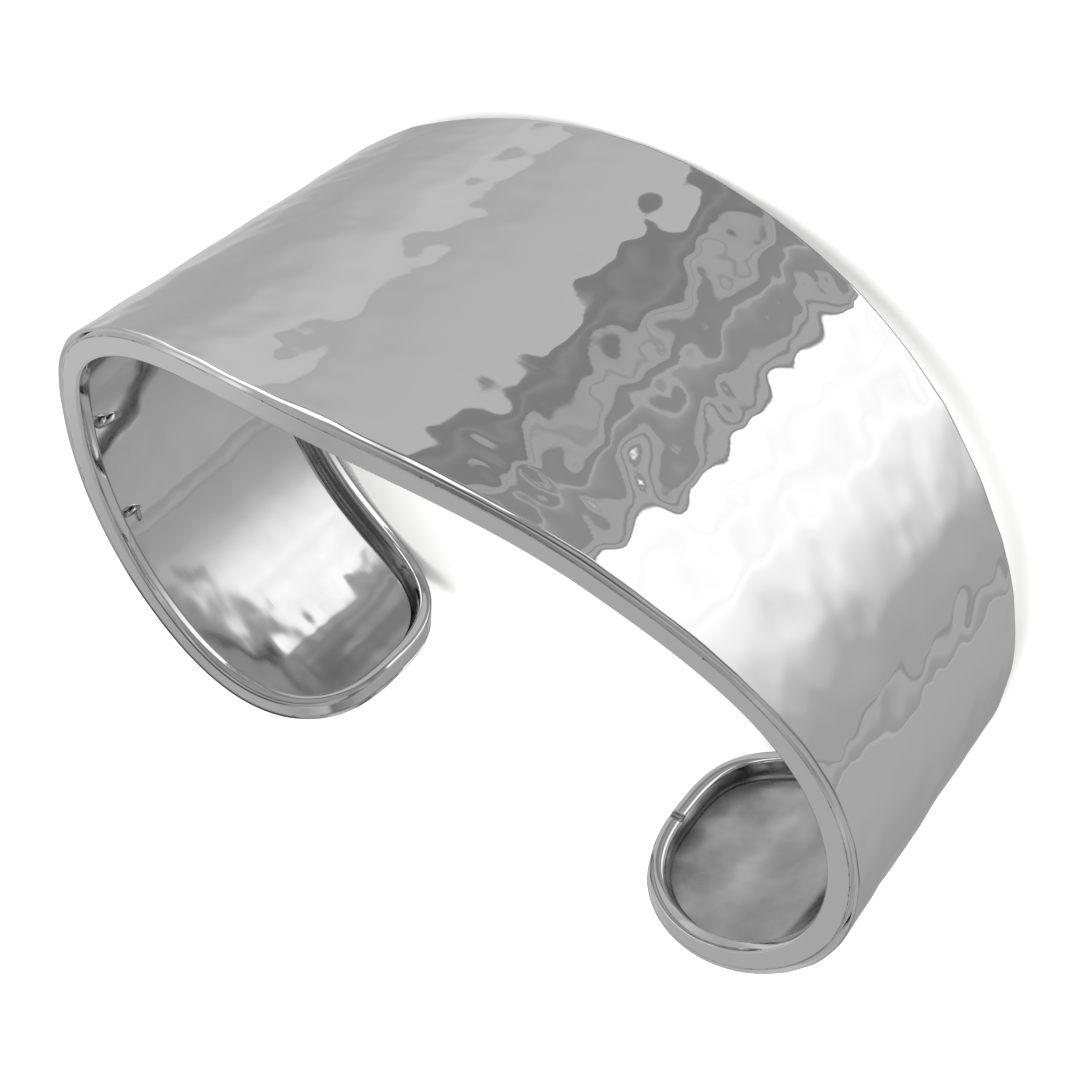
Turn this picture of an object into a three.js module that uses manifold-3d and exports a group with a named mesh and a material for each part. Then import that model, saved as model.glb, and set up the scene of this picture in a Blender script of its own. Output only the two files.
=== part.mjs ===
// An open cuff bracelet of hammered sterling silver, lying on its side.
// One sheet is bent round the wrist, wide at the front and narrower towards two rounded ends. A flat
// wire is soldered on edge all round the inside of its outline, so sheet and wire are one solid.
// Millimetres, +Z up. The front faces -Y, the gap between the ends faces +Y, the wrist runs along Z.

import * as THREE from 'three';
import { mergeVertices } from 'three/addons/utils/BufferGeometryUtils.js';
import Module from 'manifold-3d';

// The band, measured on its outer face
const BAND_LENGTH = 160;
const FRONT_WIDTH = 37.8;
const WAIST_WIDTH = 24.3;
const END_ROUNDING = 38;
const END_FULLNESS = 2.7;

// How far each half turns round the wrist, in degrees
const LEFT_TURN = 182.5;
const RIGHT_TURN = 187.5;

// The metal: the hammered sheet, the wire that stands on it, and the solder along the wire's foot
const SHEET_THICKNESS = 0.65;
const WIRE_DEPTH = 1.6;
const WIRE_WIDTH = 1.25;
const FILLET_WIDTH = 0.75;

// The hammer's marks, which fade out next to the edge, and the flats where the band rests
const MARK_SPACING = 4.6;
const MARK_RADIUS = 3.6;
const MARK_DEPTH = 0.14;
const MARK_SCATTER = 0.3;
const MARK_ON_INSIDE = 0.4;
const PLAIN_MARGIN = 2;
const FOOT_FLAT = 0.12;

// Sections of a half band, from the middle of the front to the tip. along is a share of the half's
// length, bend a share of the half's mean curvature, and width is 1 for FRONT_WIDTH and 0 for
// WAIST_WIDTH. lean is how many degrees the section tips outwards at its upper edge.
const LEFT_BENDS = [
  { along: 0, bend: 0.4 },
  { along: 1 / 6, bend: 0.75 },
  { along: 2 / 6, bend: 1.05 },
  { along: 3 / 6, bend: 1.0 },
  { along: 4 / 6, bend: 1.1 },
  { along: 5 / 6, bend: 1.2 },
  { along: 1, bend: 1.25 },
];
const RIGHT_BENDS = [
  { along: 0, bend: 0.4 },
  { along: 1 / 6, bend: 0.55 },
  { along: 2 / 6, bend: 0.75 },
  { along: 3 / 6, bend: 0.95 },
  { along: 4 / 6, bend: 1.25 },
  { along: 5 / 6, bend: 1.45 },
  { along: 1, bend: 1.55 },
];
const WIDTHS = [
  { along: 0, width: 1 },
  { along: 0.25, width: 0.6 },
  { along: 0.5, width: 0.04 },
  { along: 0.75, width: 0 },
  { along: 1, width: 0.53 },
];
const LEFT_LEANS = [
  { along: 0, lean: 1.5 },
  { along: 0.5, lean: -1 },
  { along: 1, lean: -0.5 },
];
const RIGHT_LEANS = [
  { along: 0, lean: 1.5 },
  { along: 0.5, lean: -0.3 },
  { along: 1, lean: -3.5 },
];

// How finely the solid is faceted
const CELLS_ALONG = 96;
const CELLS_ACROSS = 16;
const BEND_STEPS = 240;
const CORNER_STEPS = 48;
const EDGE_STEPS = 120;
const SETTLE_PASSES = 12;

const HALF_LENGTH = BAND_LENGTH / 2;
const RIM_DEPTH = SHEET_THICKNESS + WIRE_DEPTH;
const FOOT_INSET = WIRE_WIDTH + FILLET_WIDTH;

// A smooth line through one column of a section table, level at the first row
function column(rows, name, along) {
  let i = 0;
  while (i < rows.length - 2 && along > rows[i + 1].along) i += 1;
  const slope = (k) => {
    if (k === 0) return 0;
    const before = rows[k - 1];
    const after = rows[Math.min(k + 1, rows.length - 1)];
    return (after[name] - before[name]) / (after.along - before.along);
  };
  const step = rows[i + 1].along - rows[i].along;
  const t = (along - rows[i].along) / step;
  const rise = rows[i + 1][name] - rows[i][name];
  const swell = t * t * (3 - 2 * t);
  const leave = t * (1 - t) * (1 - t) * step * slope(i);
  const arrive = t * t * (t - 1) * step * slope(i + 1);
  return rows[i][name] + rise * swell + leave + arrive;
}

// The outer face seen along the wrist: one half, walked in short steps that each turn a little
function bendHalf(bends, turn) {
  const middles = Array.from({ length: BEND_STEPS }, (_, i) => (i + 0.5) / BEND_STEPS);
  const shares = middles.map((along) => column(bends, 'bend', along));
  const total = shares.reduce((sum, share) => sum + share, 0);
  const step = HALF_LENGTH / BEND_STEPS;
  const walk = [{ angle: 0, x: 0, y: 0 }];
  for (const share of shares) {
    const last = walk[walk.length - 1];
    const angle = last.angle + THREE.MathUtils.degToRad(turn) * share / total;
    const heading = (angle + last.angle) / 2;
    walk.push({ angle, x: last.x + step * Math.cos(heading), y: last.y + step * Math.sin(heading) });
  }
  return walk;
}

const LEFT_WALK = bendHalf(LEFT_BENDS, LEFT_TURN);
const RIGHT_WALK = bendHalf(RIGHT_BENDS, RIGHT_TURN);

// The band at a distance s from the middle of the front, along the outer face: left is positive
function station(s) {
  const side = s < 0 ? -1 : 1;
  const walk = s < 0 ? RIGHT_WALK : LEFT_WALK;
  const place = Math.min(Math.abs(s) / HALF_LENGTH, 1) * BEND_STEPS;
  const i = Math.min(Math.floor(place), BEND_STEPS - 1);
  const t = place - i;
  const mix = (name) => walk[i][name] * (1 - t) + walk[i + 1][name] * t;
  const angle = mix('angle');
  const lean = column(s < 0 ? RIGHT_LEANS : LEFT_LEANS, 'lean', place / BEND_STEPS);
  return {
    x: side * mix('x'),
    y: mix('y'),
    outX: side * Math.sin(angle),
    outY: -Math.cos(angle),
    tip: Math.tan(THREE.MathUtils.degToRad(lean)),
  };
}

function halfWidth(s) {
  const share = column(WIDTHS, 'width', Math.min(Math.abs(s) / HALF_LENGTH, 1));
  return (WAIST_WIDTH + (FRONT_WIDTH - WAIST_WIDTH) * share) / 2;
}

// A place on the flat sheet, (s, z), bent to its place round the wrist, at a depth under the outer face
function bend(s, z, depth) {
  const at = station(s);
  const out = z * at.tip - depth;
  return new THREE.Vector3(at.x + at.outX * out, at.y + at.outY * out, z);
}

// One quarter of the flat sheet's outline, from the middle of the front's edge to the tip
function quarterOutline() {
  const straight = HALF_LENGTH - END_ROUNDING;
  const points = [];
  for (let i = 0; i < EDGE_STEPS; i += 1) {
    const s = straight * i / EDGE_STEPS;
    points.push(new THREE.Vector2(s, halfWidth(s)));
  }
  for (let i = 0; i <= CORNER_STEPS; i += 1) {
    const angle = Math.PI / 2 * i / CORNER_STEPS;
    const s = straight + END_ROUNDING * Math.sin(angle) ** (2 / END_FULLNESS);
    const z = halfWidth(s) * Math.max(Math.cos(angle), 0) ** (2 / END_FULLNESS);
    points.push(new THREE.Vector2(s, z));
  }
  return points;
}

// The whole outline as a closed loop, clockwise, set in from the edge by a distance
function outlineLoop(inset) {
  const quarter = quarterOutline();
  const turned = (sx, sz) => quarter.map((p) => new THREE.Vector2(p.x * sx, p.y * sz));
  const loop = [
    ...turned(1, 1).slice(0, -1),
    ...turned(1, -1).reverse().slice(0, -1),
    ...turned(-1, -1).slice(0, -1),
    ...turned(-1, 1).reverse().slice(0, -1),
  ];
  return loop.map((point, i) => {
    const before = loop[(i + loop.length - 1) % loop.length];
    const after = loop[(i + 1) % loop.length];
    const along = after.clone().sub(before).normalize();
    return point.clone().add(new THREE.Vector2(along.y, -along.x).multiplyScalar(inset));
  });
}

// Points at even distances along a line
function spread(line, cells) {
  const lengths = [0];
  for (let i = 1; i < line.length; i += 1) lengths.push(lengths[i - 1] + line[i].distanceTo(line[i - 1]));
  const total = lengths[lengths.length - 1];
  const points = [];
  let i = 0;
  for (let k = 0; k <= cells; k += 1) {
    const want = total * k / cells;
    while (i < line.length - 2 && lengths[i + 1] < want) i += 1;
    const t = Math.min((want - lengths[i]) / (lengths[i + 1] - lengths[i]), 1);
    points.push(line[i].clone().lerp(line[i + 1], t));
  }
  return points;
}

// The four sides of the outline, which meet half way round each rounded corner
function outlineSides(inset) {
  const loop = outlineLoop(inset);
  const quarter = loop.length / 4;
  const corner = EDGE_STEPS + CORNER_STEPS / 2;
  const part = (from, to) => {
    const line = [];
    for (let i = from; i <= to; i += 1) line.push(loop[(i + loop.length) % loop.length]);
    return line;
  };
  return {
    upper: spread(part(-corner, corner), CELLS_ALONG),
    left: spread(part(corner, 2 * quarter - corner).reverse(), CELLS_ACROSS),
    lower: spread(part(2 * quarter - corner, 2 * quarter + corner).reverse(), CELLS_ALONG),
    right: spread(part(2 * quarter + corner, 4 * quarter - corner), CELLS_ACROSS),
  };
}

// A grid of places on the flat sheet that fills the four sides, from right to left and upwards
function fillSides({ upper, left, lower, right }) {
  const rows = [];
  for (let j = 0; j <= CELLS_ACROSS; j += 1) {
    const v = j / CELLS_ACROSS;
    const row = [];
    for (let i = 0; i <= CELLS_ALONG; i += 1) {
      const u = i / CELLS_ALONG;
      const across = lower[i].clone().lerp(upper[i], v);
      const along = right[j].clone().lerp(left[j], u);
      const low = lower[0].clone().lerp(lower[CELLS_ALONG], u);
      const high = upper[0].clone().lerp(upper[CELLS_ALONG], u);
      row.push(across.add(along).sub(low.lerp(high, v)));
    }
    rows.push(row);
  }
  return rows;
}

// The grid's border, as column and row, once round from its lower right corner
function border() {
  const places = [];
  for (let i = 0; i < CELLS_ALONG; i += 1) places.push([i, 0]);
  for (let j = 0; j < CELLS_ACROSS; j += 1) places.push([CELLS_ALONG, j]);
  for (let i = CELLS_ALONG; i > 0; i -= 1) places.push([i, CELLS_ACROSS]);
  for (let j = CELLS_ACROSS; j > 0; j -= 1) places.push([0, j]);
  return places;
}

// A number from 0 to 1 that looks random and is the same every time
function scatter(i, j, turn) {
  const wave = Math.sin(i * 127.1 + j * 311.7 + turn * 74.7) * 43758.5453;
  return wave - Math.floor(wave);
}

// How deep the hammer's marks lie at a place on the flat sheet
function markDepth(s, z) {
  const rowHeight = MARK_SPACING * Math.sqrt(3) / 2;
  const row = Math.round(z / rowHeight);
  let depth = 0;
  for (let j = row - 2; j <= row + 2; j += 1) {
    const shift = (Math.abs(j) % 2) * 0.5;
    const near = Math.round(s / MARK_SPACING - shift);
    for (let i = near - 2; i <= near + 2; i += 1) {
      const markS = (i + shift + (scatter(i, j, 1) - 0.5) * 2 * MARK_SCATTER) * MARK_SPACING;
      const markZ = j * rowHeight + (scatter(i, j, 2) - 0.5) * 2 * MARK_SCATTER * MARK_SPACING;
      const reach = ((s - markS) ** 2 + (z - markZ) ** 2) / MARK_RADIUS ** 2;
      if (reach < 1) depth += MARK_DEPTH * (0.5 + scatter(i, j, 3)) * (1 - reach) ** 2;
    }
  }
  return depth;
}

// 0 at the edge of the sheet and 1 further in than the plain margin
function fade(i, j, width) {
  const across = Math.min(j, CELLS_ACROSS - j) / CELLS_ACROSS * width;
  const along = Math.min(i, CELLS_ALONG - i) / CELLS_ALONG * BAND_LENGTH;
  return THREE.MathUtils.smoothstep(Math.min(across, along), 0, PLAIN_MARGIN);
}

// The closed skin of sheet and wire: outer face, edge, top of the wire, its inner side, inner face
function cuffSkin() {
  const points = [];
  const faces = [];
  const quad = (a, b, c, d) => faces.push(a, b, c, a, c, d);

  const addGrid = (inset, depth, markShare, flip) => {
    const start = points.length;
    const at = (i, j) => start + j * (CELLS_ALONG + 1) + i;
    const rows = fillSides(outlineSides(inset));
    rows.forEach((row, j) => row.forEach((place, i) => {
      const marks = markShare * fade(i, j, 2 * halfWidth(place.x)) * markDepth(place.x, place.y);
      points.push(bend(place.x, place.y, depth + marks));
    }));
    for (let j = 0; j < CELLS_ACROSS; j += 1) {
      for (let i = 0; i < CELLS_ALONG; i += 1) {
        if (flip) quad(at(i, j), at(i, j + 1), at(i + 1, j + 1), at(i + 1, j));
        else quad(at(i, j), at(i + 1, j), at(i + 1, j + 1), at(i, j + 1));
      }
    }
    return border().map(([i, j]) => at(i, j));
  };

  const addLoop = (inset, depth) => {
    const { upper, left, lower, right } = outlineSides(inset);
    const sideOf = ([i, j]) => {
      if (j === 0) return lower[i];
      if (j === CELLS_ACROSS) return upper[i];
      return i === 0 ? right[j] : left[j];
    };
    return border().map((place) => {
      const { x, y } = sideOf(place);
      points.push(bend(x, y, depth));
      return points.length - 1;
    });
  };

  const joinLoops = (first, second) => first.forEach((a, k) => {
    const next = (k + 1) % first.length;
    quad(a, second[k], second[next], first[next]);
  });

  const outerEdge = addGrid(0, 0, 1, false);
  const wireOuterEdge = addLoop(0, RIM_DEPTH);
  const wireInnerEdge = addLoop(WIRE_WIDTH, RIM_DEPTH);
  const innerEdge = addGrid(FOOT_INSET, SHEET_THICKNESS, MARK_ON_INSIDE, true);
  joinLoops(outerEdge, wireOuterEdge);
  joinLoops(wireOuterEdge, wireInnerEdge);
  joinLoops(wireInnerEdge, innerEdge);
  return { points, faces };
}

// The lowest of some points
function lowest(points) {
  return points.reduce((low, point) => (point.z < low.z ? point : low));
}

// Turns the points until the front and both ends touch one level surface, as the cuff rests by itself,
// and puts the middle of their box over the origin
function settle(points) {
  const middle = new THREE.Box3().setFromPoints(points).getCenter(new THREE.Vector3());
  const front = points.filter((point) => point.y < middle.y);
  const left = points.filter((point) => point.y > middle.y && point.x > middle.x);
  const right = points.filter((point) => point.y > middle.y && point.x < middle.x);
  const up = new THREE.Vector3(0, 0, 1);
  for (let pass = 0; pass < SETTLE_PASSES; pass += 1) {
    const foot = lowest(front);
    const toLeft = lowest(left).clone().sub(foot);
    const toRight = lowest(right).clone().sub(foot);
    const turn = new THREE.Quaternion().setFromUnitVectors(toLeft.cross(toRight).normalize(), up);
    points.forEach((point) => point.applyQuaternion(turn));
  }
  const box = new THREE.Box3().setFromPoints(points);
  const centre = box.getCenter(new THREE.Vector3());
  const base = new THREE.Vector3(centre.x, centre.y, box.min.z + FOOT_FLAT);
  points.forEach((point) => point.sub(base));
}

// The solid, cut flat where it rests
async function cuffGeometry() {
  const { points, faces } = cuffSkin();
  settle(points);
  const loose = new THREE.BufferGeometry().setFromPoints(points);
  loose.setIndex(faces);
  const skin = mergeVertices(loose);
  const wasm = await Module();
  wasm.setup();
  const solid = new wasm.Manifold(new wasm.Mesh({
    numProp: 3,
    vertProperties: new Float32Array(skin.attributes.position.array),
    triVerts: new Uint32Array(skin.index.array),
  }));
  const trimmed = solid.trimByPlane([0, 0, 1], 0).getMesh();
  const geometry = new THREE.BufferGeometry();
  geometry.setAttribute('position', new THREE.BufferAttribute(trimmed.vertProperties, 3));
  geometry.setIndex(new THREE.BufferAttribute(trimmed.triVerts, 1));
  geometry.computeVertexNormals();
  return geometry;
}

const silver = new THREE.MeshStandardMaterial({ color: 0xd9d8d4, metalness: 1, roughness: 0.16 });

const cuff = new THREE.Mesh(await cuffGeometry(), silver);
cuff.name = 'hammered_cuff';

const bracelet = new THREE.Group();
bracelet.add(cuff);

export default bracelet;
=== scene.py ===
# %% [markdown]
# # A hammered silver cuff bracelet
#
# A silversmith makes this cuff from one sheet of sterling silver. It is hammered, polished, and
# bent round the wrist, and a flat wire is soldered on edge round the inside to make it stiff.
# This lesson builds the same two pieces of metal, rounds their edges, and gives them a polish.
#
# The CAD model is loaded first. It is the measure for everything here.

# %% Load the CAD model
import math

import bmesh
import bpy
import numpy as np
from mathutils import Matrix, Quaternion, Vector


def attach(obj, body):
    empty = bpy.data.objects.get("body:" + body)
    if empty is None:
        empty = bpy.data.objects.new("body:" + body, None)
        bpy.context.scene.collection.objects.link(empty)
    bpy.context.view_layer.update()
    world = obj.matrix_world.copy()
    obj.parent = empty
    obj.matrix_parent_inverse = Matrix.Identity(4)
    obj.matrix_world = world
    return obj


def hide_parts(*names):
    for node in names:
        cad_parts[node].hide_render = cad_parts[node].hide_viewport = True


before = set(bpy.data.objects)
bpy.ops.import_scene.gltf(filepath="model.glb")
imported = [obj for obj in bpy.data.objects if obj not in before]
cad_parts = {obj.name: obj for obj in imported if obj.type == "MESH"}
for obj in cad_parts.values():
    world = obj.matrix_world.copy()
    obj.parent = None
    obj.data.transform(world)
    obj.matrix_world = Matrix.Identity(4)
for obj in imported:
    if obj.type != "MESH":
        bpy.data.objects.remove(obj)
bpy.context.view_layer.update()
MM = 0.001

# %% [markdown]
# ## The camera
#
# The picture was taken from above the front, close to the cuff, with the camera turned almost
# upside down, so that the cuff's edge runs from upper left to lower right. A camera can be placed
# with three angles, but a place, a point to look at and a roll are easier to read. The roll turns
# the camera about its own line of sight.

# %% Camera
CAMERA_PLACE = Vector((-46.3, -62.96, 92.14)) * MM
CAMERA_AIM = Vector((-2.84, -1.5, 15.97)) * MM
CAMERA_ROLL = math.radians(-126.66)
CAMERA_LENS = 50.07

camera = bpy.data.objects.new("camera", bpy.data.cameras.new("camera"))
bpy.context.collection.objects.link(camera)
camera.location = CAMERA_PLACE
line_of_sight = CAMERA_AIM - CAMERA_PLACE
camera.rotation_mode = "QUATERNION"
camera.rotation_quaternion = line_of_sight.to_track_quat("-Z", "Y") @ Quaternion((0, 0, 1), CAMERA_ROLL)
camera.data.lens = CAMERA_LENS
camera.data.clip_start = 0.01
bpy.context.scene.camera = camera
print("Camera looks down at", round(math.degrees(math.asin(-line_of_sight.normalized().z)), 1), "degrees")

# %% [markdown]
# ## Colours
#
# Paint and metal charts give colours as sRGB hex values, while Blender's shaders count in linear
# light. One function turns the first into the second.

# %% Colour helper
def linear(hex_colour):
    """An sRGB hex value such as #F2EEE8 as the linear colour that a shader wants."""
    channels = [int(hex_colour[i : i + 2], 16) / 255 for i in (1, 3, 5)]
    bright = [c / 12.92 if c <= 0.04045 else ((c + 0.055) / 1.055) ** 2.4 for c in channels]
    return (*bright, 1.0)


print("Mid grey is", [round(c, 3) for c in linear("#808080")])


# %% [markdown]
# A node tree is quicker to read when each node is one line. This helper adds a node, sets its
# properties and sockets, and links what comes in.

# %% Node helper
def add_node(tree, kind, settings=None, links=None, **properties):
    """Adds a node. settings are socket values, links are the sockets that feed it."""
    node = tree.nodes.new(kind)
    for name, value in properties.items():
        setattr(node, name, value)
    for socket, value in (settings or {}).items():
        node.inputs[socket].default_value = value
    for socket, source in (links or {}).items():
        tree.links.new(source, node.inputs[socket])
    return node


# %% [markdown]
# ## The floor and the light
#
# The cuff lies on a plain pale floor, under two large soft lamps. Polished silver shows nothing
# but its surroundings, so the lamps and the floor stay out of its reflections here, and a light
# tent stands round the cuff instead, as jewellery photographers use. Each lamp is square and points
# at the cuff.

# %% Floor and lamps
FLOOR_HALF_SIDE = 3
PAPER_ROUGHNESS = 0.9
LAMPS = [
    {"name": "overhead_lamp", "place": (0.1, 0.2, 1.2), "size": 1.2, "power": 16},
    {"name": "front_lamp", "place": (-0.7, -0.7, 0.9), "size": 0.9, "power": 7},
]


def stage_mesh(name, shape):
    """An object of the studio from a finished bmesh."""
    mesh = bpy.data.meshes.new(name)
    shape.to_mesh(mesh)
    shape.free()
    thing = bpy.data.objects.new(name, mesh)
    bpy.context.collection.objects.link(thing)
    return thing


floor_shape = bmesh.new()
bmesh.ops.create_grid(floor_shape, x_segments=1, y_segments=1, size=FLOOR_HALF_SIDE)
floor = stage_mesh("floor", floor_shape)
floor.visible_glossy = False
paper = bpy.data.materials.new("white_paper")
paper.use_nodes = True
paper.node_tree.nodes["Principled BSDF"].inputs["Base Color"].default_value = linear("#F4F4F3")
paper.node_tree.nodes["Principled BSDF"].inputs["Roughness"].default_value = PAPER_ROUGHNESS
floor.data.materials.append(paper)

for lamp in LAMPS:
    light = bpy.data.objects.new(lamp["name"], bpy.data.lights.new(lamp["name"], "AREA"))
    bpy.context.collection.objects.link(light)
    light.location = lamp["place"]
    light.rotation_mode = "QUATERNION"
    light.rotation_quaternion = (-Vector(lamp["place"])).to_track_quat("-Z", "Y")
    light.data.size = lamp["size"]
    light.data.energy = lamp["power"]
    light.visible_glossy = False
bpy.context.scene.view_settings.view_transform = "Standard"
world = bpy.data.worlds.new("studio_air")
world.use_nodes = True
world.node_tree.nodes["Background"].inputs["Color"].default_value = linear("#E6E6E6")
world.node_tree.nodes["Background"].inputs["Strength"].default_value = 1.0
bpy.context.scene.world = world

# %% [markdown]
# ## The light tent
#
# The tent is a ball of cloth round the cuff. Lamps outside it make some of it bright and leave
# some of it grey. It is made of belts from the bottom up, and each belt has its own list of tones
# round the cuff: azimuth in degrees from the front (-Y) towards +X, then brightness. Where two
# azimuths lie close together, the silver shows a sharp line. The tent could be a picture on the
# world, but a mesh with a tone at each vertex needs no picture.
#
# Where the cuff in the picture mirrors a part of the cloth, the tones there were found by following
# the reflection back to it, and were rounded and adjusted. The other tones are made up, such
# as the stripes of the belts from -12 and from 6, which only show from the side.

# %% Tones of the tent
SAG_HEIGHT = -20.08
FRONT_TONES = [
    (-180, 0.36), (-160, 0.33), (-145, 0.36), (-126, 0.40), (-110, 0.42), (-101.5, 0.42), (-101, 0.47),
    (-100.5, 0.46), (-100, 0.33), (-97.5, 0.36), (-96, 0.42), (-94, 0.42), (-93.5, 0.30), (-93, 0.31),
    (-92.5, 0.38), (-86, 0.38), (-76, 0.43), (-67, 0.57), (-60, 0.75), (-51, 0.96), (-47, 1.0),
    (-42, 1.12), (-38, 1.03), (-33, 1.15), (-28, 1.06), (-23, 1.15), (-18, 1.15), (-17.5, 0.27),
    (-17, 0.27), (-16.5, 0.41), (-14.5, 0.41), (-14, 0.28), (-13.5, 0.28),
    (-13, 0.40), (-10.5, 0.39), (-10, 0.28), (-7, 0.29), (-3.5, 0.34), (-3, 0.42), (-2, 0.41), (-1.5, 0.28),
    (3, 0.26), (3.5, 0.38), (5.5, 0.40), (6, 0.30), (6.5, 0.39), (9, 0.37), (9.5, 0.22), (12, 0.23),
    (14, 0.27), (17, 0.22), (20, 0.23), (20.5, 0.28), (21, 0.50), (36, 0.48), (45, 0.44), (46.5, 0.44),
    (47.5, 0.55), (52, 0.56), (58, 0.52), (66, 0.45), (78, 0.41), (92, 0.43), (104, 0.58), (125, 0.64),
    (180, 0.36),
]
SIDE_TONES = [(118, 0.45), (126, 0.53), (132, 0.53), (139, 0.45), (147, 0.38), (156, 0.43), (180, 0.42)]
TENT_BELTS = [
    {"bottom": -90, "blend": 4, "tones": [(-180, 0.22), (180, 0.22)]},
    {"bottom": -58, "blend": 4, "tones": FRONT_TONES},
    {
        "bottom": SAG_HEIGHT,
        "blend": 1,
        "tones": [(-180, 0.36), (-110, 0.36), (-88, 0.27), (-60, 0.30), (-30, 0.27), (-3, 0.25), (2, 0.18),
                  (12, 0.14), (40, 0.35), (125, 0.6), (180, 0.36)],
    },
    {
        "bottom": -12,
        "blend": 5,
        "tones": [(-180, 0.42), (-150, 0.15), (-138, 0.3), (-126, 0.13), (-112, 0.3), (-98, 0.13),
                  (-84, 0.15), (-72, 0.36), (-60, 0.13), (-46, 0.15), (-36, 0.33), (-26, 0.13),
                  (-14, 0.13), (-8, 1.3), (8, 1.2), (13, 0.7), (18, 1.25), (58, 1.3), (66, 0.8),
                  (72, 1.0), (85, 0.4), *SIDE_TONES],
    },
    {
        "bottom": 6,
        "blend": 4,
        "tones": [(-180, 0.42), (-165, 0.35), (-150, 0.5), (-138, 0.28), (-124, 0.5), (-112, 0.26),
                  (-98, 0.45), (-86, 0.25), (-74, 0.5), (-62, 0.28), (-50, 0.55), (-40, 0.3),
                  (-28, 0.5), (-20, 0.28), (-12, 0.3), (-8, 1.3), (2, 1.2), (8, 0.6), (14, 1.15),
                  (28, 1.3), (60, 1.3), (68, 0.6), (76, 0.8), (85, 0.42), *SIDE_TONES],
    },
    {"bottom": 38, "blend": 6, "tones": [(-180, 0.3), (20, 0.3), (50, 0.42), (125, 0.42), (180, 0.38)]},
    {"bottom": 60, "blend": 6, "tones": [(-180, 0.08), (20, 0.08), (60, 0.32), (125, 0.32), (180, 0.08)]},
]
print("Bottoms of the belts:", [belt["bottom"] for belt in TENT_BELTS])

# %% [markdown]
# The cloth starts as a flat grid, with the azimuth along it and the elevation up it, and is then
# wrapped into the ball. It hangs a little askew: its upright seams lean (`SEAM_LEAN`, by elevation,
# and `LEAN_SHARE`, how much of it each azimuth gets), the front bulges to one side near the top of
# the second belt (`BULGE`), and the seam between the second and the third belt sags (`BELT_SAG`).
# The vertices are moved along, so a sharp change of tone always follows a column or a ring of them,
# and the rings next to that seam are pinched together to keep it crisp.

# %% Hang the tent
TENT_RADIUS = 0.8
TENT_COLUMNS = 720
TENT_RINGS = 130
SEAM_LEAN = [(-90, 8), (-50, 8), (-42, 3.2), (-36, 0), (-31, -3.2), (-27, -3.2), (-20, 2.6), (90, 2.6)]
LEAN_SHARE = [
    (-180, 0), (-112, -0.8), (-90, -0.7), (-60, 0), (-20, 0.9), (20, 1), (60, 0.6), (90, 0), (180, 0),
]
BELT_SAG = [
    (-180, 5), (-90, -3), (-62, -3.6), (-57, -2.3), (-50, -1.4), (-44, -0.6), (-35, 0.2), (-30, 0.9),
    (-26, 1.4), (-17, 1.9), (-12, 1.6), (-8, 0.8), (0, 0.6), (30, 4), (180, 5),
]
SAG_REACH = 12
PINCH = 0.8
PINCH_REACH = 1.5
BULGE_PLACE = -17.5
BULGE_WIDTH = 12
BULGE = [(-26, 0), (-23, 10), (-22, 11), (-20, 6), (-18, 5), (-10, 0)]


def between(rows, where):
    """The values on the straight lines between the rows of a table."""
    return np.interp(where, *zip(*rows))


def smooth_step(t):
    """0 up to t = 0 and 1 from t = 1, with a soft rise between."""
    t = np.clip(t, 0, 1)
    return t * t * (3 - 2 * t)


def tent_tones(azimuth, elevation):
    """How bright the cloth is at each place, before it is hung."""
    tones = np.zeros_like(azimuth)
    for belt in TENT_BELTS:
        share = smooth_step((elevation - belt["bottom"]) / belt["blend"] + 0.5)
        tones = tones * (1 - share) + between(belt["tones"], azimuth) * share
    return tones


def hang(azimuth, elevation):
    """Where each place of the cloth is, as directions of length 1."""
    above_seam = elevation - SAG_HEIGHT
    near_sag = np.exp(-((above_seam / SAG_REACH) ** 2))
    pinched = SAG_HEIGHT + above_seam * (1 - PINCH * np.exp(-((above_seam / PINCH_REACH) ** 2)))
    bulge = between(BULGE, elevation) * np.exp(-(((azimuth - BULGE_PLACE) / BULGE_WIDTH) ** 2))
    hung_azimuth = np.radians(azimuth + between(SEAM_LEAN, elevation) * between(LEAN_SHARE, azimuth) + bulge)
    hung_elevation = np.radians(pinched + between(BELT_SAG, azimuth) * near_sag)
    level = np.cos(hung_elevation)
    return np.stack([level * np.sin(hung_azimuth), -level * np.cos(hung_azimuth), np.sin(hung_elevation)], 1)


tent_shape = bmesh.new()
bmesh.ops.create_grid(tent_shape, x_segments=TENT_COLUMNS, y_segments=TENT_RINGS, size=1)
tent = stage_mesh("light_tent", tent_shape)
cloth_places = np.empty(len(tent.data.vertices) * 3)
tent.data.vertices.foreach_get("co", cloth_places)
azimuths = cloth_places[0::3] * 180
elevations = cloth_places[1::3] * 90
tent.data.vertices.foreach_set("co", (hang(azimuths, elevations) * TENT_RADIUS).ravel())
tone_attribute = tent.data.attributes.new("tone", "FLOAT", "POINT")
tone_attribute.data.foreach_set("value", tent_tones(azimuths, elevations))
tent.visible_camera = False
tent.visible_diffuse = False
tent.visible_shadow = False
cloth = bpy.data.materials.new("lit_tent_cloth")
cloth.use_nodes = True
cloth.node_tree.nodes.clear()
tone = add_node(cloth.node_tree, "ShaderNodeAttribute", attribute_name="tone")
glow = add_node(cloth.node_tree, "ShaderNodeEmission", links={"Strength": tone.outputs["Fac"]})
add_node(cloth.node_tree, "ShaderNodeOutputMaterial", links={"Surface": glow.outputs["Emission"]})
cloth.cycles.emission_sampling = "NONE"
tent.data.materials.append(cloth)
print("The tent has", len(tent.data.polygons), "faces and", len(TENT_BELTS), "belts")

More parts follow.
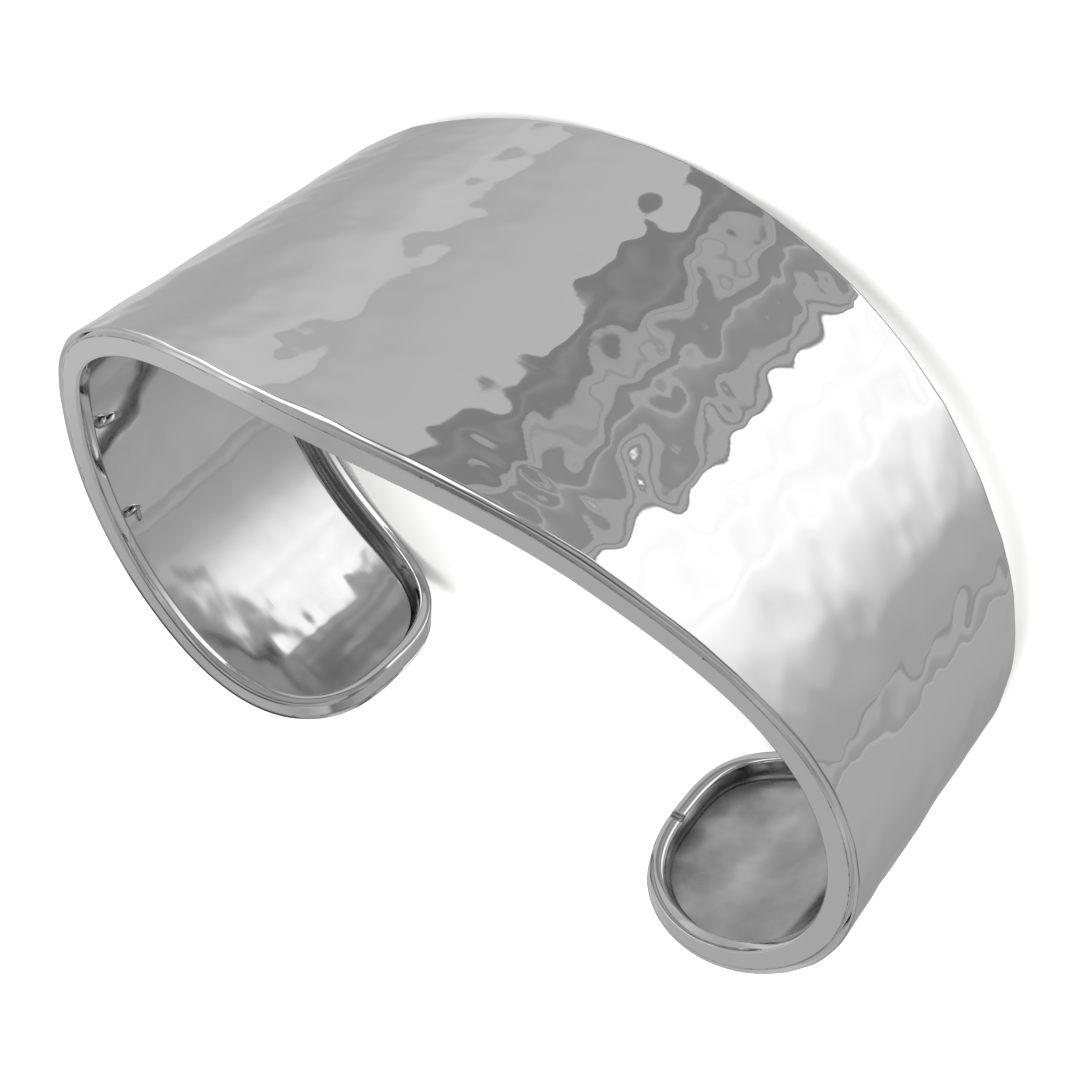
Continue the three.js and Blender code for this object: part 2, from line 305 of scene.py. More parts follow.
# %% [markdown]
# ## The shape of the band
#
# The band is easiest to describe flat, as the sheet lay on the bench: s millimetres from the
# middle of the front, towards the left end where s is positive, and z millimetres above the
# middle line. The tables give how much each half is bent, how wide it is and how it leans, at
# places between the middle (0) and the tip (1). They are the CAD model's own values.
#
# All points are worked out together as numpy arrays, which is much quicker than one at a time.

# %% Values of the band
BAND_LENGTH = 160
FRONT_WIDTH = 37.8
WAIST_WIDTH = 24.3
END_ROUNDING = 38
END_FULLNESS = 2.7
SHEET_THICKNESS = 0.65
WIRE_DEPTH = 1.6
WIRE_WIDTH = 1.25
FILLET_WIDTH = 0.75
HALF_LENGTH = BAND_LENGTH / 2
BEND_STEPS = 240
SHARES = np.linspace(0, 1, BEND_STEPS + 1)

SIXTHS = (0, 1 / 6, 2 / 6, 3 / 6, 4 / 6, 5 / 6, 1)
LEFT = {"turn": 182.5, "bends": list(zip(SIXTHS, (0.4, 0.75, 1.05, 1.0, 1.1, 1.2, 1.25)))}
RIGHT = {"turn": 187.5, "bends": list(zip(SIXTHS, (0.4, 0.55, 0.75, 0.95, 1.25, 1.45, 1.55)))}
LEFT["leans"] = [(0, 1.5), (0.5, -1), (1, -0.5)]
RIGHT["leans"] = [(0, 1.5), (0.5, -0.3), (1, -3.5)]
WIDTHS = [(0, 1), (0.25, 0.6), (0.5, 0.04), (0.75, 0), (1, 0.53)]


def smooth_value(rows, along):
    """A smooth line through the rows of a table, level at its first row."""
    i = 0
    while i < len(rows) - 2 and along > rows[i + 1][0]:
        i += 1

    def slope(k):
        if k == 0:
            return 0
        before, after = rows[k - 1], rows[min(k + 1, len(rows) - 1)]
        return (after[1] - before[1]) / (after[0] - before[0])

    step = rows[i + 1][0] - rows[i][0]
    t = (along - rows[i][0]) / step
    rise = (rows[i + 1][1] - rows[i][1]) * t * t * (3 - 2 * t)
    leave = t * (1 - t) ** 2 * step * slope(i)
    arrive = t * t * (t - 1) * step * slope(i + 1)
    return rows[i][1] + rise + leave + arrive


def smooth_line(rows, shares):
    return np.array([smooth_value(rows, share) for share in shares])


HALF_WIDTHS = (WAIST_WIDTH + (FRONT_WIDTH - WAIST_WIDTH) * smooth_line(WIDTHS, SHARES)) / 2


def half_width(s):
    return np.interp(np.abs(s) / HALF_LENGTH, SHARES, HALF_WIDTHS)


print("Half width at the front, side and tip:", half_width(np.array([0, 40, 80])).round(1))

# %% [markdown]
# Bending the sheet means walking along it in short steps and turning a little at each step. The
# walk is done once for each half and kept, and every point of the metal is then looked up in it.
# The finished cuff is turned and moved to where it rests on its lower edges, as the CAD model is,
# and nothing may reach under the surface that it lies on.

# %% Bend the band
REST_TURN = np.array(Quaternion((0.99576, -0.091915, -0.00346, -0.000293)).to_matrix())
REST_BASE = np.array((-2.548, 22.444, -18.963))


def running_sum(steps):
    return np.concatenate([[0], np.cumsum(steps)])


def walk_half(half):
    """Keeps the angle, the place and the lean at each step along one half, seen along the wrist."""
    bends = smooth_line(half["bends"], (SHARES[1:] + SHARES[:-1]) / 2)
    half["angle"] = running_sum(bends) / bends.sum() * math.radians(half["turn"])
    heading = (half["angle"][1:] + half["angle"][:-1]) / 2
    half["x"] = running_sum(np.cos(heading)) * HALF_LENGTH / BEND_STEPS
    half["y"] = running_sum(np.sin(heading)) * HALF_LENGTH / BEND_STEPS
    half["lean"] = np.radians(smooth_line(half["leans"], SHARES))


walk_half(LEFT)
walk_half(RIGHT)


def place(s, z, depth):
    """Points of the flat sheet in the finished cuff, at a depth under its outer face."""
    along = np.abs(s) / HALF_LENGTH

    def look_up(name):
        left, right = (np.interp(along, SHARES, half[name]) for half in (LEFT, RIGHT))
        return np.where(s < 0, right, left)

    angle = look_up("angle")
    out = z * np.tan(look_up("lean")) - depth
    side = np.where(s < 0, -1, 1)
    bent = np.stack([side * (look_up("x") + np.sin(angle) * out), look_up("y") - np.cos(angle) * out, z], -1)
    places = (bent @ REST_TURN.T - REST_BASE) * MM
    places[..., 2] = np.maximum(places[..., 2], 0)
    return places


print("Front at", (place(np.array([0]), np.array([0]), 0) / MM).round(1), "mm")

# %% [markdown]
# ## The outline
#
# The outline of the flat sheet is one quarter, mirrored twice, with ends rounded like a squared-off
# ellipse. The mesh needs four sides, so the loop is cut half way round each rounded end. Points
# are spread evenly along the sides, and the inside is filled evenly between them, because the
# mesh then has even cells.

# %% Outline of the sheet
EDGE_STEPS = 160
CORNER_STEPS = 96
CELLS_ALONG = 448
CELLS_ACROSS = 100


def quarter_outline():
    """The edge from the middle of the front to the tip, as rows of s and z."""
    straight = HALF_LENGTH - END_ROUNDING
    angles = np.radians(np.linspace(0, 90, CORNER_STEPS + 1))
    power = 2 / END_FULLNESS
    rounded = straight + END_ROUNDING * np.sin(angles) ** power
    s = np.concatenate([np.linspace(0, straight, EDGE_STEPS, endpoint=False), rounded])
    narrowing = np.concatenate([np.ones(EDGE_STEPS), np.maximum(np.cos(angles), 0) ** power])
    return np.stack([s, half_width(s) * narrowing], -1)


def outline(inset):
    """The whole edge as a closed loop, clockwise from the middle of the upper edge, set inwards."""
    quarter = quarter_outline()
    parts = [(quarter * signs)[:: signs[0] * signs[1]][:-1] for signs in ((1, 1), (1, -1), (-1, -1), (-1, 1))]
    loop = np.concatenate(parts)
    along = np.roll(loop, -1, 0) - np.roll(loop, 1, 0)
    along /= np.linalg.norm(along, axis=1, keepdims=True)
    return loop + np.stack([along[:, 1], -along[:, 0]], -1) * inset


def spread(line, cells):
    """Points at even distances along a line."""
    lengths = running_sum(np.linalg.norm(np.diff(line, axis=0), axis=1))
    wanted = np.linspace(0, lengths[-1], cells + 1)
    return np.stack([np.interp(wanted, lengths, line[:, axis]) for axis in (0, 1)], -1)


def flat_places(inset):
    """The s and z of every grid place [column, row] of the sheet, with its border set inwards."""
    loop = outline(inset)
    quarter = len(loop) // 4
    corner = EDGE_STEPS + CORNER_STEPS // 2

    def part(first, last, cells):
        return spread(loop[np.arange(first, last + 1) % len(loop)], cells)

    upper = part(-corner, corner, CELLS_ALONG)[:, None]
    left = part(corner, 2 * quarter - corner, CELLS_ACROSS)[::-1][None]
    lower = part(2 * quarter - corner, 2 * quarter + corner, CELLS_ALONG)[::-1][:, None]
    right = part(2 * quarter + corner, 4 * quarter - corner, CELLS_ACROSS)[None]
    u = np.linspace(0, 1, CELLS_ALONG + 1)[:, None, None]
    v = np.linspace(0, 1, CELLS_ACROSS + 1)[None, :, None]
    low_line = lower[:1] * (1 - u) + lower[-1:] * u
    high_line = upper[:1] * (1 - u) + upper[-1:] * u
    filled = lower * (1 - v) + upper * v + right * (1 - u) + left * u - low_line * (1 - v) - high_line * v
    return filled[..., 0], filled[..., 1]


def once_round():
    """The border of the grid as (column, row) places, once round."""
    bottom = [(i, 0) for i in range(CELLS_ALONG)]
    left_end = [(CELLS_ALONG, j) for j in range(CELLS_ACROSS)]
    top = [(i, CELLS_ACROSS) for i in range(CELLS_ALONG, 0, -1)]
    right_end = [(0, j) for j in range(CELLS_ACROSS, 0, -1)]
    return bottom + left_end + top + right_end


BORDER = once_round()
print("The border has", len(BORDER), "places")

# %% [markdown]
# ## The hammered face
#
# A planishing hammer leaves shallow round bowls side by side, in rough rows, and where two bowls
# meet there is a low ridge that the polish has softened. Each bowl here is a small parabola at a
# place moved a little from an even pattern, as a hand does, and the deepest bowl wins at every
# point. Wider, softer dents from the first, rougher hammering lie under them, and small oval
# caps with a crisp rim, from blows that landed a little hard, lie on top, with a few nicks. A bump
# map could fake this, but silver is a mirror, and only real slopes bend its reflections as in the
# picture.

# %% Hammer marks
BOWLS = {"spacing": 2.8, "scatter": 0.5, "seed": 0, "stretch": 1, "radius": 2.8, "depth": 0.1}
DENTS = {"spacing": 3.9, "scatter": 0.5, "seed": 11, "stretch": 1, "radius": 3.5, "depth": 0.045}
CAPS = {"spacing": 2.4, "scatter": 0.5, "seed": 40, "stretch": 1.35, "radius": 1.2, "depth": 0.021}
BOWL_FLATNESS, BOWL_FLATNESS_RANGE = 0.55, 0.9
BOWL_UNEVENNESS = 0.045
RIDGE_HEIGHT = 0.011
CAP_RIM = 0.16
LEAST_RADIUS, RADIUS_RANGE = 0.75, 0.35
MEAN_DEPTH = 0.13
NICKS = [(-6.8, -2.0, 0.9, 0.5), (-5.7, -16.0, 0.9, 0.5), (11.7, 14.5, 0.8, 0.5), (-3.6, 13.4, 0.7, 0.5)]
NICK_DEPTH = 0.03


def scatter(i, j, turn):
    """Numbers from 0 to 1 that look random and are the same every time: the factors mix digits."""
    wave = np.sin(i * 127.1 + j * 311.7 + turn * 74.7) * 43758.5453
    return wave - np.floor(wave)


def strokes_near(pattern, s, z):
    """The numbers and the squared distance of each hammer stroke near the places.

    A stretch over 1 makes the strokes longer round the cuff and narrower across it.
    """
    spacing, seed, stretch = pattern["spacing"], pattern["seed"], pattern["stretch"]
    reach = 2 * pattern["scatter"]
    row_height = spacing * math.sqrt(3) / 2
    for j_step in range(-2, 3):
        j = np.round(z / row_height) + j_step
        shift = np.abs(j) % 2 / 2
        for i_step in range(-2, 3):
            i = np.round(s / spacing - shift) + i_step
            stroke_s = (i + shift + (scatter(i, j, seed + 1) - 0.5) * reach) * spacing
            stroke_z = j * row_height + (scatter(i, j, seed + 2) - 0.5) * reach * spacing
            yield i, j, ((s - stroke_s) / stretch) ** 2 + ((z - stroke_z) * stretch) ** 2


strokes = list(strokes_near(BOWLS, 0, 0))
print("Strokes that can reach one place:", len(strokes))

# %% [markdown]
# Each kind of mark has its own form, so each gets its own small function. They add up to the depth
# of the hammered surface, and their mean is taken off, so that the sheet keeps its size. A nick is
# given by its s and z, its length and its width.

# %% Depth of the marks
def stroke_radius(pattern, i, j):
    """No two strokes are equally hard, so each leaves a mark of its own size, in mm."""
    return pattern["radius"] * (LEAST_RADIUS + RADIUS_RANGE * scatter(i, j, pattern["seed"] + 5))


def bowl_depth(s, z):
    """The deepest bowl at each place, softly joined to the next, in mm."""
    total = 0
    for i, j, distance in strokes_near(BOWLS, s, z):
        flatness = BOWL_FLATNESS + BOWL_FLATNESS_RANGE * scatter(i, j, 3)
        bowl = BOWLS["depth"] * (1 - distance / BOWLS["radius"] ** 2 * flatness)
        total += np.exp((bowl + BOWL_UNEVENNESS * scatter(i, j, 4)) / RIDGE_HEIGHT)
    return np.log(total) * RIDGE_HEIGHT


def dent_depth(s, z):
    """The first hammering: round soft dents that add up, in mm."""
    total = 0
    for i, j, distance in strokes_near(DENTS, s, z):
        inside = 1 - np.minimum(distance / stroke_radius(DENTS, i, j) ** 2, 1)
        total += DENTS["depth"] * 2 * scatter(i, j, DENTS["seed"] + 3) * inside**2
    return total


def cap_depth(s, z):
    """Small oval caps with a crisp rim, in mm. A third of the places of their pattern get none."""
    total = 0
    for i, j, distance in strokes_near(CAPS, s, z):
        inwards = 1 - distance / stroke_radius(CAPS, i, j) ** 2
        inside = CAP_RIM * np.log1p(np.exp(inwards / CAP_RIM))
        total += CAPS["depth"] * np.maximum(3 * scatter(i, j, CAPS["seed"] + 3) - 1, 0) * inside
    return total


def nick_depth(s, z):
    """A few short nicks, in mm."""
    total = 0
    for nick_s, nick_z, length, width in NICKS:
        total += np.exp(-(((s - nick_s) / length) ** 2) - ((z - nick_z) / width) ** 2)
    return NICK_DEPTH * total


def mark_depth(s, z):
    """Depth of the hammered surface under the even one, in mm."""
    return bowl_depth(s, z) + dent_depth(s, z) + cap_depth(s, z) - MEAN_DEPTH


some_s, some_z = np.meshgrid(np.linspace(-60, 60, 60), np.linspace(-10, 10, 20))
print("Depth of the marks: mean", mark_depth(some_s, some_z).mean().round(3), "mm")

# %% [markdown]
# The sheet starts as a flat grid. Its border is laid along the outline and every point is bent to
# its place. Each vertex keeps the column and row that it came from, so a ring of edges that is
# extruded from the border can be laid anew: that makes the rounded edge. The inner face is a
# second grid, and its border is joined to the last ring of the outer one. Two more rings lie close
# to its corner, because smooth shading would otherwise bend the reflections on the narrow side.
#
# Two more numbers are kept at the vertices for the finish, and a bmesh keeps all four as layers.
# The first of the two is the grey film that silver gets where no buffing wheel reaches, inside and
# along the foot of the wire, together with painted shade that makes the narrow right end much greyer
# inside, most along the foot of its wire. `seam` is 1 on the solder line between sheet and wire and
# fades next to it.

# %% Values kept at the vertices
INSIDE_FILM = 0.07
# Painted shade: the whole inside of the narrow right end is greyed by this much.
RIGHT_END_PAINTED_SHADE = 0.21
FOOT_FILM = 0.25
# Painted shade: the foot of the wire in the narrow right end is greyed by this much more.
RIGHT_FOOT_PAINTED_SHADE = 0.15
FOOT_FILM_REACH = 1.8
RIGHT_END_START, RIGHT_END_BLEND = 45, 15


def from_edge(s):
    """About how far each grid place is from the edge of the sheet, in mm."""
    i = np.arange(CELLS_ALONG + 1)[:, None]
    j = np.arange(CELLS_ACROSS + 1)[None]
    across = np.minimum(j, CELLS_ACROSS - j) / CELLS_ACROSS * 2 * half_width(s)
    return np.minimum(across, np.minimum(i, CELLS_ALONG - i) / CELLS_ALONG * BAND_LENGTH)


def film_and_shade_share(s):
    """How grey the inner face is at each grid place, from 0 to 1: film and painted shade."""
    from_foot = np.maximum(from_edge(s) - WIRE_WIDTH - FILLET_WIDTH, 0)
    # The painted shade comes in towards the narrow right end.
    right_end = smooth_step((-s - RIGHT_END_START) / RIGHT_END_BLEND)
    at_foot = (FOOT_FILM + RIGHT_FOOT_PAINTED_SHADE * right_end) * np.exp(-from_foot / FOOT_FILM_REACH)
    return INSIDE_FILM + RIGHT_END_PAINTED_SHADE * right_end + at_foot


def new_shape():
    """An empty bmesh whose vertices can keep a column, a row and the values for the finish."""
    shape = bmesh.new()
    for name in ("column", "row"):
        shape.verts.layers.int.new(name)
    for name in ("patina_and_shade", "seam"):
        shape.verts.layers.float.new(name)
    return shape


def layers_of(shape):
    """The four layers of such a bmesh, in their order above."""
    whole, parts = shape.verts.layers.int, shape.verts.layers.float
    return whole["column"], whole["row"], parts["patina_and_shade"], parts["seam"]


def verts_of(edges):
    return {vert for edge in edges for vert in edge.verts}


# The grey inside: film and painted shade together.
film_and_shade = film_and_shade_share(flat_places(0)[0])
print("Patina inside from", film_and_shade.min().round(2), "to", film_and_shade.max().round(2))

# %% [markdown]
# Two steps make the sheet: a hammered face is added to a bmesh, and a ring of edges is extruded
# and laid anew. A third turns the finished bmesh into a piece that rides on the cuff's one body.

# %% Steps of the sheet
def add_face(shape, inset, depth, mark_share, inside=False):
    """Adds one hammered face of the sheet to a bmesh and returns its border edges."""
    column, row, patina_and_shade, seam = layers_of(shape)
    s, z = flat_places(inset)
    marks = mark_depth(s, z) + (0 if inside else nick_depth(s, z))
    places = place(s, z, depth + mark_share * marks)
    # The inner face gets the film, and painted shade in the narrow right end.
    film_and_shade = film_and_shade_share(s) if inside else np.zeros_like(s)
    made = bmesh.ops.create_grid(shape, x_segments=CELLS_ALONG, y_segments=CELLS_ACROSS, size=1)
    for vert in made["verts"]:
        i = round((vert.co.x + 1) / 2 * CELLS_ALONG)
        j = round((vert.co.y + 1) / 2 * CELLS_ACROSS)
        vert[column], vert[row] = i, j
        vert[patina_and_shade] = film_and_shade[i, j]
        vert[seam] = float(inside and vert.is_boundary)
        vert.co = places[i, j]
    own = set(made["verts"])
    return [edge for edge in shape.edges if edge.is_boundary and edge.verts[0] in own]


def extrude_ring(shape, edges, inset, depth, mark_share=0):
    """Extrudes a closed ring of edges and lays the new ring at an inset and a depth."""
    column, row, _, _ = layers_of(shape)
    made = bmesh.ops.extrude_edge_only(shape, edges=edges)["geom"]
    s, z = flat_places(inset)
    places = place(s, z, depth + (mark_share * mark_depth(s, z) if mark_share else 0))
    for vert in (part for part in made if isinstance(part, bmesh.types.BMVert)):
        vert.co = places[vert[column], vert[row]]
    return [part for part in made if isinstance(part, bmesh.types.BMEdge)]


def finish_piece(name, shape):
    """Turns a finished bmesh into a smooth-shaded piece of the cuff."""
    bmesh.ops.recalc_face_normals(shape, faces=shape.faces)
    mesh = bpy.data.meshes.new(name)
    shape.to_mesh(mesh)
    shape.free()
    mesh.shade_smooth()
    piece = bpy.data.objects.new(name, mesh)
    bpy.context.collection.objects.link(piece)
    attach(piece, "root")
    print(name, "has", sum(len(p.vertices) - 2 for p in mesh.polygons), "triangles")
    return piece


print("A face of the sheet has", CELLS_ALONG * CELLS_ACROSS, "cells")

# %% [markdown]
# Now the outer face, its rounded edge, the inner face and the two rings near its corner follow one
# another, and the two open rims are bridged.

# %% Sheet
MARK_ON_INSIDE = 0.18
EDGE_ROUND = 0.26
ROUND_STEPS = 3
SEAM_RINGS = [{"from_corner": 0.03, "seam": 0.95}, {"from_corner": 0.1, "seam": 0.75}]

sheet_shape = new_shape()
ring = add_face(sheet_shape, EDGE_ROUND, 0, 1)
for step in range(1, ROUND_STEPS + 1):
    angle = math.pi / 2 * step / ROUND_STEPS
    inset, depth = EDGE_ROUND * (1 - math.sin(angle)), EDGE_ROUND * (1 - math.cos(angle))
    ring = extrude_ring(sheet_shape, ring, inset, depth, mark_share=1 - step / ROUND_STEPS)
inner_ring = add_face(sheet_shape, 0, SHEET_THICKNESS, MARK_ON_INSIDE, inside=True)
_, _, patina_and_shade, seam = layers_of(sheet_shape)
for seam_ring in SEAM_RINGS:
    inner_ring = extrude_ring(sheet_shape, inner_ring, 0, SHEET_THICKNESS - seam_ring["from_corner"])
    for vert in verts_of(inner_ring):
        vert[patina_and_shade], vert[seam] = 0, seam_ring["seam"]
bmesh.ops.bridge_loops(sheet_shape, edges=ring + inner_ring)
sheet = finish_piece("hammered_sheet", sheet_shape)
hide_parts("hammered_cuff")

# %% [markdown]
# ## The rim wire
#
# The wire is swept round the outline, and its section is a flat bar with a hollow foot of solder
# on its inner side. A curve object with a bevel could sweep it, but the bar has to stay square to
# the bent sheet everywhere. So a circle of edges is laid along the outline and extruded once for
# each point of the section, and the last ring is bridged to the first.
#
# The top of the bar is slightly domed by the file and the buffing wheel, so its reflections are
# drawn out into soft lines. The two ends of the wire meet at the tip of the right end, where a
# small notch was left in the rim.
#
# Each row of the section is one point of it: how far in from the outline and how deep under the
# sheet's outer face it lies, in millimetres, and its values of patina and seam.

# %% Wire
WIRE_SINK = 0.04
WIRE_ROUND = 0.16
WIRE_DOME = 0.09
SEAM_ROUND = 0.03
RIM_DEPTH = SHEET_THICKNESS + WIRE_DEPTH
WIRE_FOOT = SHEET_THICKNESS - WIRE_SINK
WIRE_SECTION = [
    (0, WIRE_FOOT, 0, 1),
    (0, WIRE_FOOT + 0.2, 0.02, 0.7),
    (0, WIRE_FOOT + 0.26, 0.02, 0),
    (0, WIRE_FOOT + 0.75 * WIRE_DEPTH, 0.02, 0),
    (0, RIM_DEPTH - WIRE_DOME, 0.02, 0),
    (0.3 * WIRE_WIDTH, RIM_DEPTH, 0.02, 0),
    (0.7 * WIRE_WIDTH, RIM_DEPTH, 0.02, 0),
    (WIRE_WIDTH, RIM_DEPTH - WIRE_DOME, 0.1, 0),
    (WIRE_WIDTH + 0.1 * FILLET_WIDTH, RIM_DEPTH - 0.4 * WIRE_DEPTH, 0.3, 0),
    (WIRE_WIDTH + 0.3 * FILLET_WIDTH, RIM_DEPTH - 0.75 * WIRE_DEPTH, 0.5, 0),
    (WIRE_WIDTH + 0.6 * FILLET_WIDTH, RIM_DEPTH - 0.93 * WIRE_DEPTH, 0.5, 0),
    (WIRE_WIDTH + FILLET_WIDTH, WIRE_FOOT, 0.4, 0),
]
OUTER_CORNER, INNER_CORNER = 4, 7
ROUNDED_CORNERS = {0: SEAM_ROUND, OUTER_CORNER: WIRE_ROUND, INNER_CORNER: WIRE_ROUND}
JOINT_PLACE = 1.5
JOINT_DEPTH = 0.3
JOINT_PATINA = 0.7

wire_shape = new_shape()
column, row, patina_and_shade, seam = layers_of(wire_shape)
circle = bmesh.ops.create_circle(wire_shape, segments=len(BORDER), radius=1)["verts"]
first_places = place(*flat_places(0), WIRE_FOOT)
for vert, (i, j) in zip(circle, BORDER):
    vert[column], vert[row] = i, j
    vert.co = first_places[i, j]
rings = [wire_shape.edges[:]]
for inset, depth, _, _ in WIRE_SECTION[1:]:
    rings.append(extrude_ring(wire_shape, rings[-1], inset, depth))
for ring, (_, _, film_and_shade, solder) in zip(rings, WIRE_SECTION):
    for vert in verts_of(ring):
        vert[patina_and_shade], vert[seam] = film_and_shade, solder
bmesh.ops.bridge_loops(wire_shape, edges=rings[-1] + rings[0])
joint_row = int(np.abs(flat_places(0)[1][0] - JOINT_PLACE).argmin())
for point in range(OUTER_CORNER, INNER_CORNER + 1):
    notch_place = place(*flat_places(WIRE_SECTION[point][0]), RIM_DEPTH - JOINT_DEPTH)[0, joint_row]
    for vert in verts_of(rings[point]):
        if (vert[column], vert[row]) == (0, joint_row):
            vert.co = notch_place
            vert[patina_and_shade] = JOINT_PATINA
for corner, radius in ROUNDED_CORNERS.items():
    bmesh.ops.bevel(
        wire_shape,
        geom=rings[corner],
        offset=radius * MM,
        segments=2,
        profile=0.5,
        affect="EDGES",
        material=-1,
    )
wire = finish_piece("rim_wire", wire_shape)

# %% [markdown]
# ## Lumps of solder
#
# Where the solder was fed in, a little of it stayed on the foot of the wire as a lump that froze
# with folds. Each lump is a ball, stretched and folded on the flat sheet and bent with it.

# %% Solder lumps
LUMPS = [
    {"s": 42.3, "z": 8.5, "length": 2.6, "width": 0.9, "height": 0.5, "turn": 100},
    {"s": 41.8, "z": 9.5, "length": 1.2, "width": 0.8, "height": 0.6, "turn": 60},
    {"s": 51.9, "z": 8.9, "length": 1.9, "width": 0.8, "height": 0.5, "turn": 95},
    {"s": 52.6, "z": 8.4, "length": 1.4, "width": 0.5, "height": 0.35, "turn": 20},
    {"s": -77.0, "z": -6.8, "length": 0.7, "width": 0.4, "height": 0.4, "turn": 40},
]
LUMP_PATINA = 0.12
WIDE_FOLD = 0.07
FINE_FOLD = 0.04


def add_lump(shape, lump):
    """A ball from bmesh, folded by a few waves and laid on the inner face of the sheet."""
    _, _, patina_and_shade, _ = layers_of(shape)
    verts = bmesh.ops.create_icosphere(shape, subdivisions=4, radius=1)["verts"]
    ball = np.array([vert.co for vert in verts])
    x, y = ball[:, 0], ball[:, 1]
    folds = 1 + WIDE_FOLD * np.sin(4 * x + 2 * y) + FINE_FOLD * np.sin(6 * y - 3 * x)
    half_sides = [[lump["length"] / 2], [lump["width"] / 2], [lump["height"]]]
    along, across, up = (ball * folds[:, None]).T * half_sides
    turn = math.radians(lump["turn"])
    s = lump["s"] + along * math.cos(turn) - across * math.sin(turn)
    z = lump["z"] + along * math.sin(turn) + across * math.cos(turn)
    for vert, spot in zip(verts, place(s, z, SHEET_THICKNESS + up)):
        vert.co = spot
        vert[patina_and_shade] = LUMP_PATINA


lumps_shape = new_shape()
for lump in LUMPS:
    add_lump(lumps_shape, lump)
lumps = finish_piece("solder_lumps", lumps_shape)

# %% [markdown]
# ## Polished sterling silver
#
# Sterling silver is nearly without colour. It was polished on a buffing wheel, which leaves a
# mirror with hairline scratches that only soften the reflections a little. The patina makes it
# greyer and duller in clouds, and the same grey is painted shade inside the narrow right end. The
# solder seam took the polish badly: it shows as a fine dark line, broken here and there, with
# pinholes where the noise is strongest. All shape comes from the mesh, so the bump here is only
# the hairlines, each about 1.4 mm long round the cuff and 0.12 mm wide.
# Real ones are too fine to show, so these are drawn as coarse as they need to be.
#
# A range below turns a noise or an attribute into a share, and a size is that of its noise in
# millimetres. The colour mix has its two colours at sockets 6 and 7, and its result at 2.

# %% Silver
MIX_FIRST, MIX_SECOND, MIX_RESULT = 6, 7, 2
BRIGHT_SILVER = linear("#F4F4F4")
# Grey of the film, also used as painted shade inside the narrow right end.
DARK_FILM_AND_SHADE = linear("#3A3A3A")
BLACK_PIT = linear("#202020")
GRAIN = {
    "clouds": {"size": 4, "detail": 5},
    "breaks": {"size": 2.5, "detail": 3},
    "pinholes": {"size": 0.28, "detail": 2},
    "smears": {"size": 8, "detail": 4},
}
CLOUDS = {"From Min": 0.35, "From Max": 0.65, "To Min": 0.65, "To Max": 1.35}
LINE = {"From Min": 0.84, "From Max": 0.93}
BREAKS = {"From Min": 0.42, "From Max": 0.58, "To Min": 0.1, "To Max": 0.5}
PINHOLES = {"From Min": 1.545, "From Max": 1.59, "To Max": 0.85}
SMEARS = {"From Min": 0.3, "From Max": 0.7}
LEAST_SMEAR, MOST_SMEAR = 0.6, 1.4
FILM_ROUGHNESS = {"To Max": 0.5}
PIT_ROUGHNESS = {"To Max": 0.4}
HAIRLINES = {"Scale": 700, "Detail": 2}
HAIRLINE_SQUEEZE = {"Scale": (1, 1, 12)}
HAIRLINE_DEPTH = 0.00001


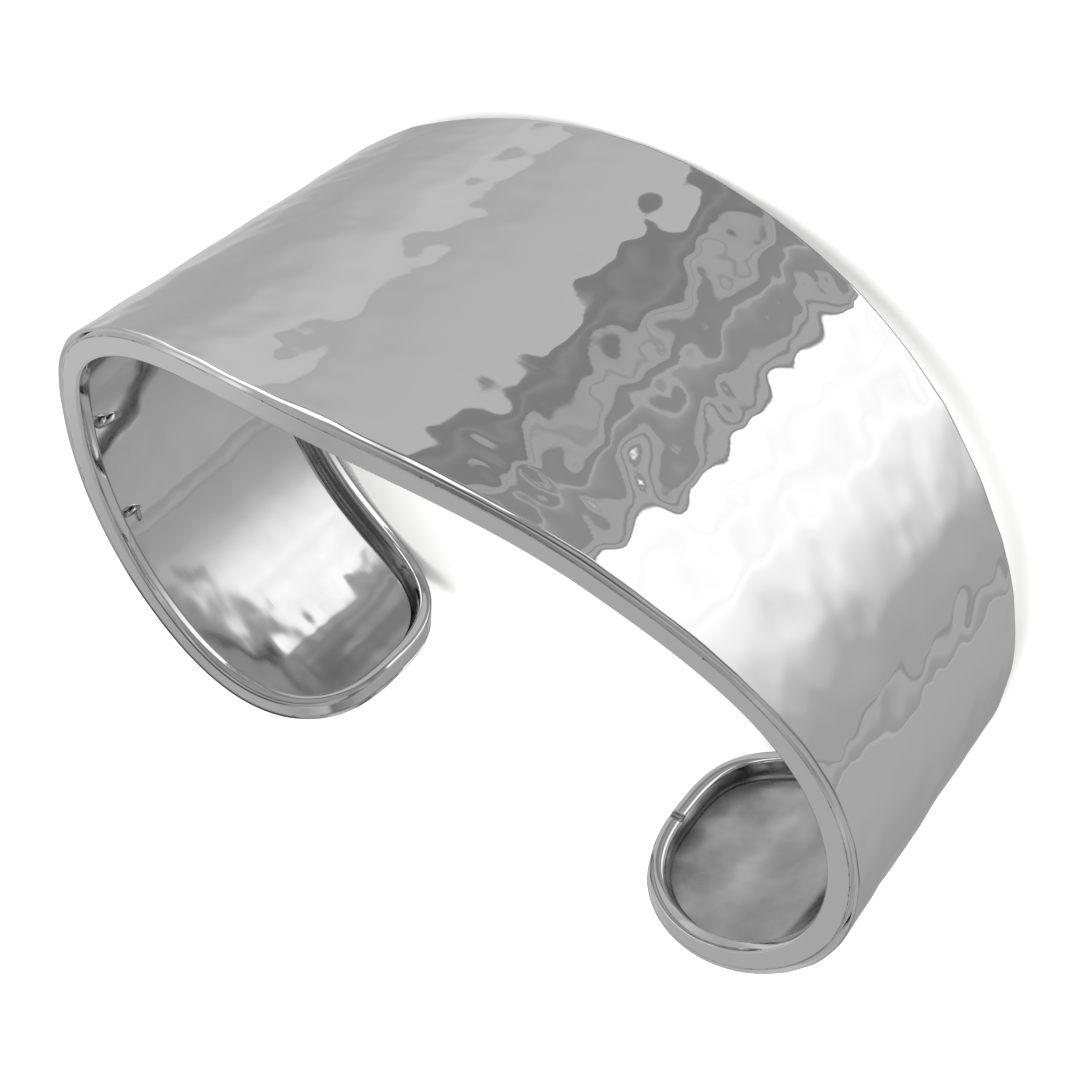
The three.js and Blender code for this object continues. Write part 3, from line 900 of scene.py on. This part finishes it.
def silver(name, roughness, hairline_strength):
    """Polished sterling silver with patina and painted shade, a pitted solder seam and hairline scratches."""
    metal = bpy.data.materials.new(name)
    metal.use_nodes = True
    tree = metal.node_tree
    shader = tree.nodes["Principled BSDF"]
    shader.inputs["Metallic"].default_value = 1
    where = {"Vector": add_node(tree, "ShaderNodeTexCoord").outputs["Object"]}
    film_and_shade = add_node(tree, "ShaderNodeAttribute", attribute_name="patina_and_shade").outputs["Fac"]
    seam = add_node(tree, "ShaderNodeAttribute", attribute_name="seam").outputs["Fac"]
    grain = {}
    for use, noise in GRAIN.items():
        settings = {"Scale": 1 / (noise["size"] * MM), "Detail": noise["detail"]}
        grain[use] = add_node(tree, "ShaderNodeTexNoise", settings, where).outputs["Fac"]

    clouds = add_node(tree, "ShaderNodeMapRange", CLOUDS, {"Value": grain["clouds"]}).outputs[0]
    # Film and painted shade together, broken into clouds.
    patina_and_shade = add_node(tree, "ShaderNodeMath", links={0: film_and_shade, 1: clouds}, operation="MULTIPLY").outputs[0]
    whole = add_node(tree, "ShaderNodeMapRange", LINE, {"Value": seam}).outputs[0]
    breaks = add_node(tree, "ShaderNodeMapRange", BREAKS, {"Value": grain["breaks"]}).outputs[0]
    line = add_node(tree, "ShaderNodeMath", links={0: whole, 1: breaks}, operation="MULTIPLY").outputs[0]
    near_seam = add_node(tree, "ShaderNodeMath", links={0: seam, 1: grain["pinholes"]}, operation="ADD")
    pinholes = add_node(tree, "ShaderNodeMapRange", PINHOLES, {"Value": near_seam.outputs[0]}).outputs[0]
    pits = add_node(tree, "ShaderNodeMath", links={0: line, 1: pinholes}, operation="MAXIMUM").outputs[0]

    colours = {MIX_FIRST: BRIGHT_SILVER, MIX_SECOND: DARK_FILM_AND_SHADE}
    greyed = add_node(tree, "ShaderNodeMix", colours, {0: patina_and_shade}, data_type="RGBA").outputs[MIX_RESULT]
    into_mix = {0: pits, MIX_FIRST: greyed}
    pitted = add_node(tree, "ShaderNodeMix", {MIX_SECOND: BLACK_PIT}, into_mix, data_type="RGBA")
    tree.links.new(pitted.outputs[MIX_RESULT], shader.inputs["Base Color"])

    smear_range = {**SMEARS, "To Min": LEAST_SMEAR * roughness, "To Max": MOST_SMEAR * roughness}
    smears = add_node(tree, "ShaderNodeMapRange", smear_range, {"Value": grain["smears"]}).outputs[0]
    dull = add_node(tree, "ShaderNodeMapRange", FILM_ROUGHNESS, {"Value": patina_and_shade}).outputs[0]
    rough = add_node(tree, "ShaderNodeMapRange", PIT_ROUGHNESS, {"Value": pits}).outputs[0]
    duller = add_node(tree, "ShaderNodeMath", links={0: smears, 1: dull}, operation="ADD").outputs[0]
    rougher = add_node(tree, "ShaderNodeMath", links={0: duller, 1: rough}, operation="ADD").outputs[0]
    tree.links.new(rougher, shader.inputs["Roughness"])

    squeezed = add_node(tree, "ShaderNodeMapping", HAIRLINE_SQUEEZE, where).outputs["Vector"]
    hairlines = add_node(tree, "ShaderNodeTexNoise", HAIRLINES, {"Vector": squeezed}).outputs["Fac"]
    relief = {"Strength": hairline_strength, "Distance": HAIRLINE_DEPTH}
    bump = add_node(tree, "ShaderNodeBump", relief, {"Height": hairlines}).outputs["Normal"]
    tree.links.new(bump, shader.inputs["Normal"])
    return metal


buffed_silver = silver("buffed_sterling_silver", roughness=0.035, hairline_strength=0.04)
for piece in (sheet, wire, lumps):
    piece.data.materials.append(buffed_silver)
print("Materials:", buffed_silver.name)
